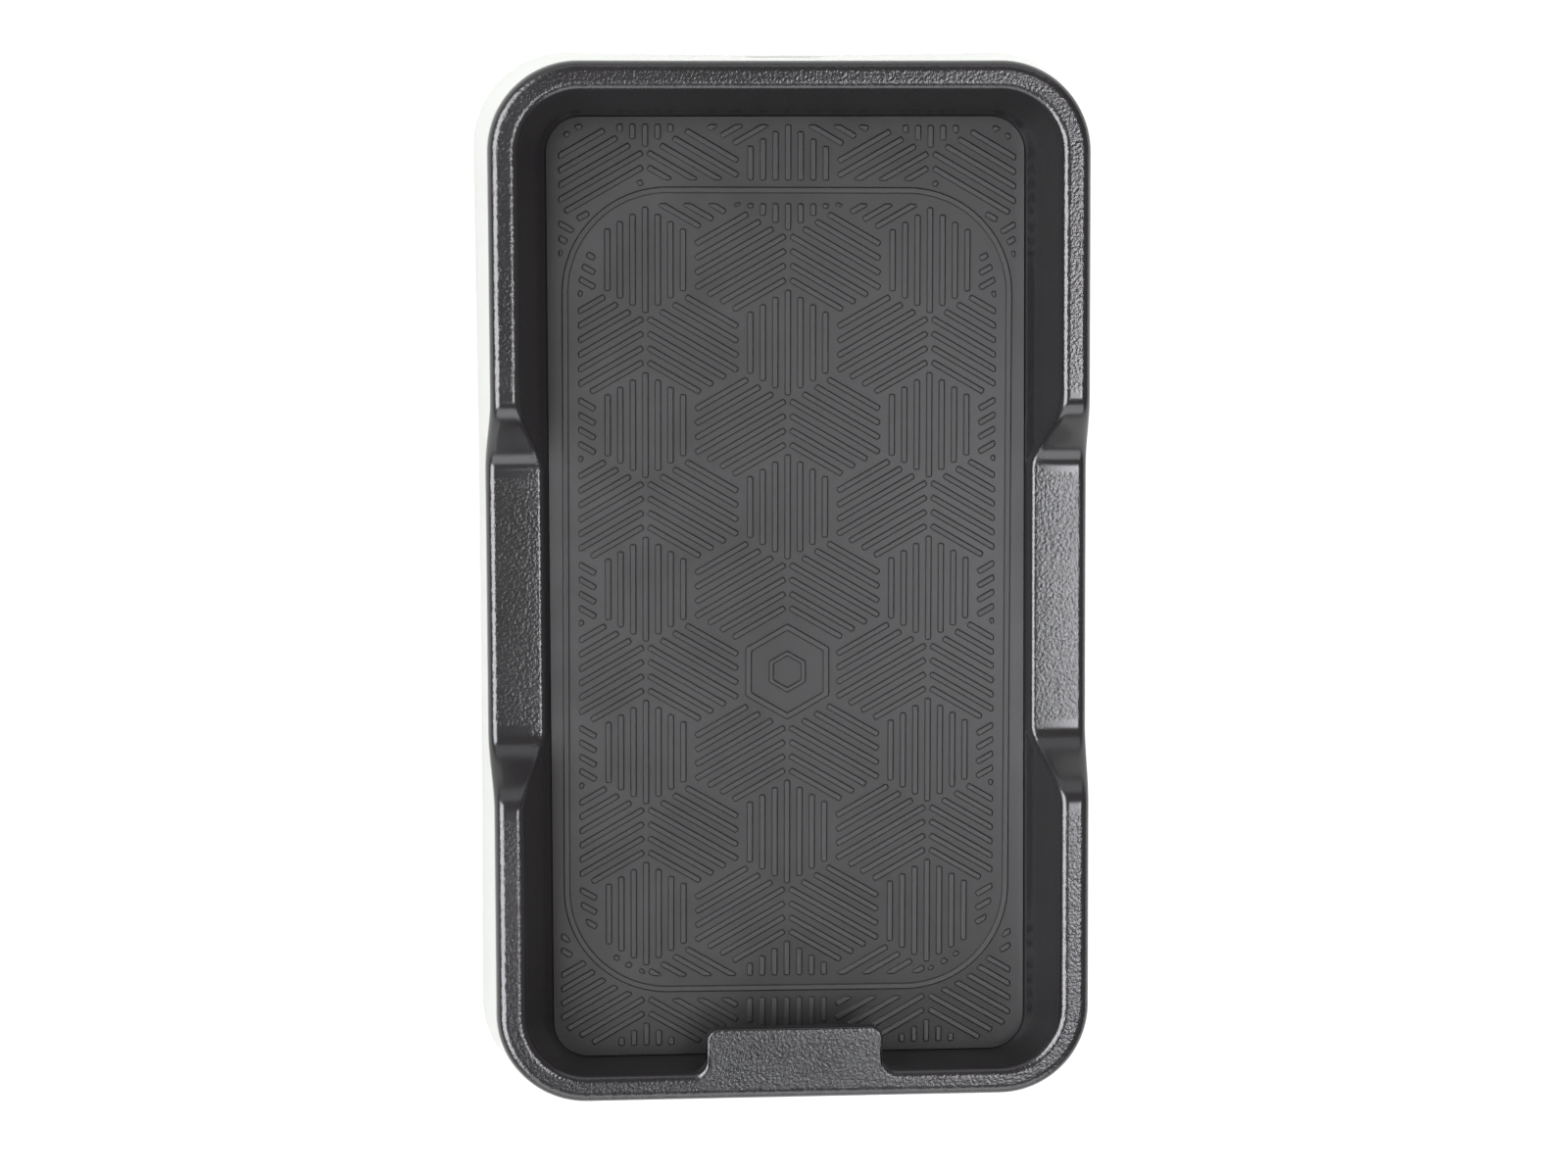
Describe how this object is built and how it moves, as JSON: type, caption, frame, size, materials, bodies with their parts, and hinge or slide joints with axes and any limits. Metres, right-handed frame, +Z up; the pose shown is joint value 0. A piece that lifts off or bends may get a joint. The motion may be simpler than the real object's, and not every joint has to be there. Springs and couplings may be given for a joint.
{
  "type": "wireless charging pad",
  "caption": "Tray-shaped wireless charging pad: a phone lies on a ribbed rubber mat between raised walls with finger dips, its foot held under a tab.",
  "frame": {"origin": "on the surface the pad stands on, under the middle of its outline", "axes": "+Y from the hold-down tab at the near end to the cable port at the far end, +X to the right, +Z up"},
  "size_m": [0.1052, 0.1792, 0.026],
  "materials": {
    "tray_black": "satin moulded plastic with a fine grain",
    "mat_rubber": "matt dark grey silicone rubber with raised ribs",
    "housing_white": "off-white glossy moulded plastic",
    "cover_grey": "light grey fine-grained plastic",
    "foot_rubber": "dark grey matt rubber",
    "screw_steel": "plated steel",
    "aluminium": "rolled sheet",
    "copper_enamel": "enamelled copper wire",
    "ferrite": "sintered ferrite",
    "carrier_plastic": "natural moulded plastic",
    "foam": "soft closed-cell foam",
    "adhesive_tape": "double-sided adhesive sheet",
    "board_green": "green solder mask",
    "chip_black": "moulded component body",
    "capacitor_ceramic": "ceramic",
    "capacitor_can": "drawn can"
  },
  "bodies": {
    "root": {"charging_tray": "tray_black", "grip_mat": "mat_rubber", "mat_adhesive": "adhesive_tape", "outer_housing": "housing_white", "base_cover": "cover_grey", "shield_plate": "aluminium", "foam_spacer": "foam", "ferrite_sheet": "ferrite", "coil_carrier": "carrier_plastic", "coil_near": "copper_enamel", "coil_far": "copper_enamel", "coil_centre": "copper_enamel", "lead_near": "copper_enamel", "lead_far": "copper_enamel", "lead_centre": "copper_enamel", "thermistor": "chip_black", "circuit_board": "board_green", "coil_connector": "carrier_plastic", "controller_chip": "chip_black", "inductor": "chip_black", "cable_socket": "screw_steel", "foot_1": "foot_rubber", "foot_2": "foot_rubber", "foot_3": "foot_rubber", "foot_4": "foot_rubber", "base_screw_1": "screw_steel", "base_screw_2": "screw_steel", "base_screw_3": "screw_steel", "base_screw_4": "screw_steel", "base_screw_5": "screw_steel", "base_screw_6": "screw_steel", "board_screw_1": "screw_steel", "board_screw_2": "screw_steel", "board_screw_3": "screw_steel", "board_screw_4": "screw_steel", "shield_screw_1": "screw_steel", "shield_screw_2": "screw_steel", "shield_screw_3": "screw_steel", "shield_screw_4": "screw_steel", "power_transistor_1": "chip_black", "power_transistor_2": "chip_black", "power_transistor_3": "chip_black", "power_transistor_4": "chip_black", "resonant_capacitor_1": "capacitor_ceramic", "resonant_capacitor_2": "capacitor_ceramic", "resonant_capacitor_3": "capacitor_ceramic", "bulk_capacitor_1": "capacitor_can", "bulk_capacitor_2": "capacitor_can"}
  },
  "joints": []
}
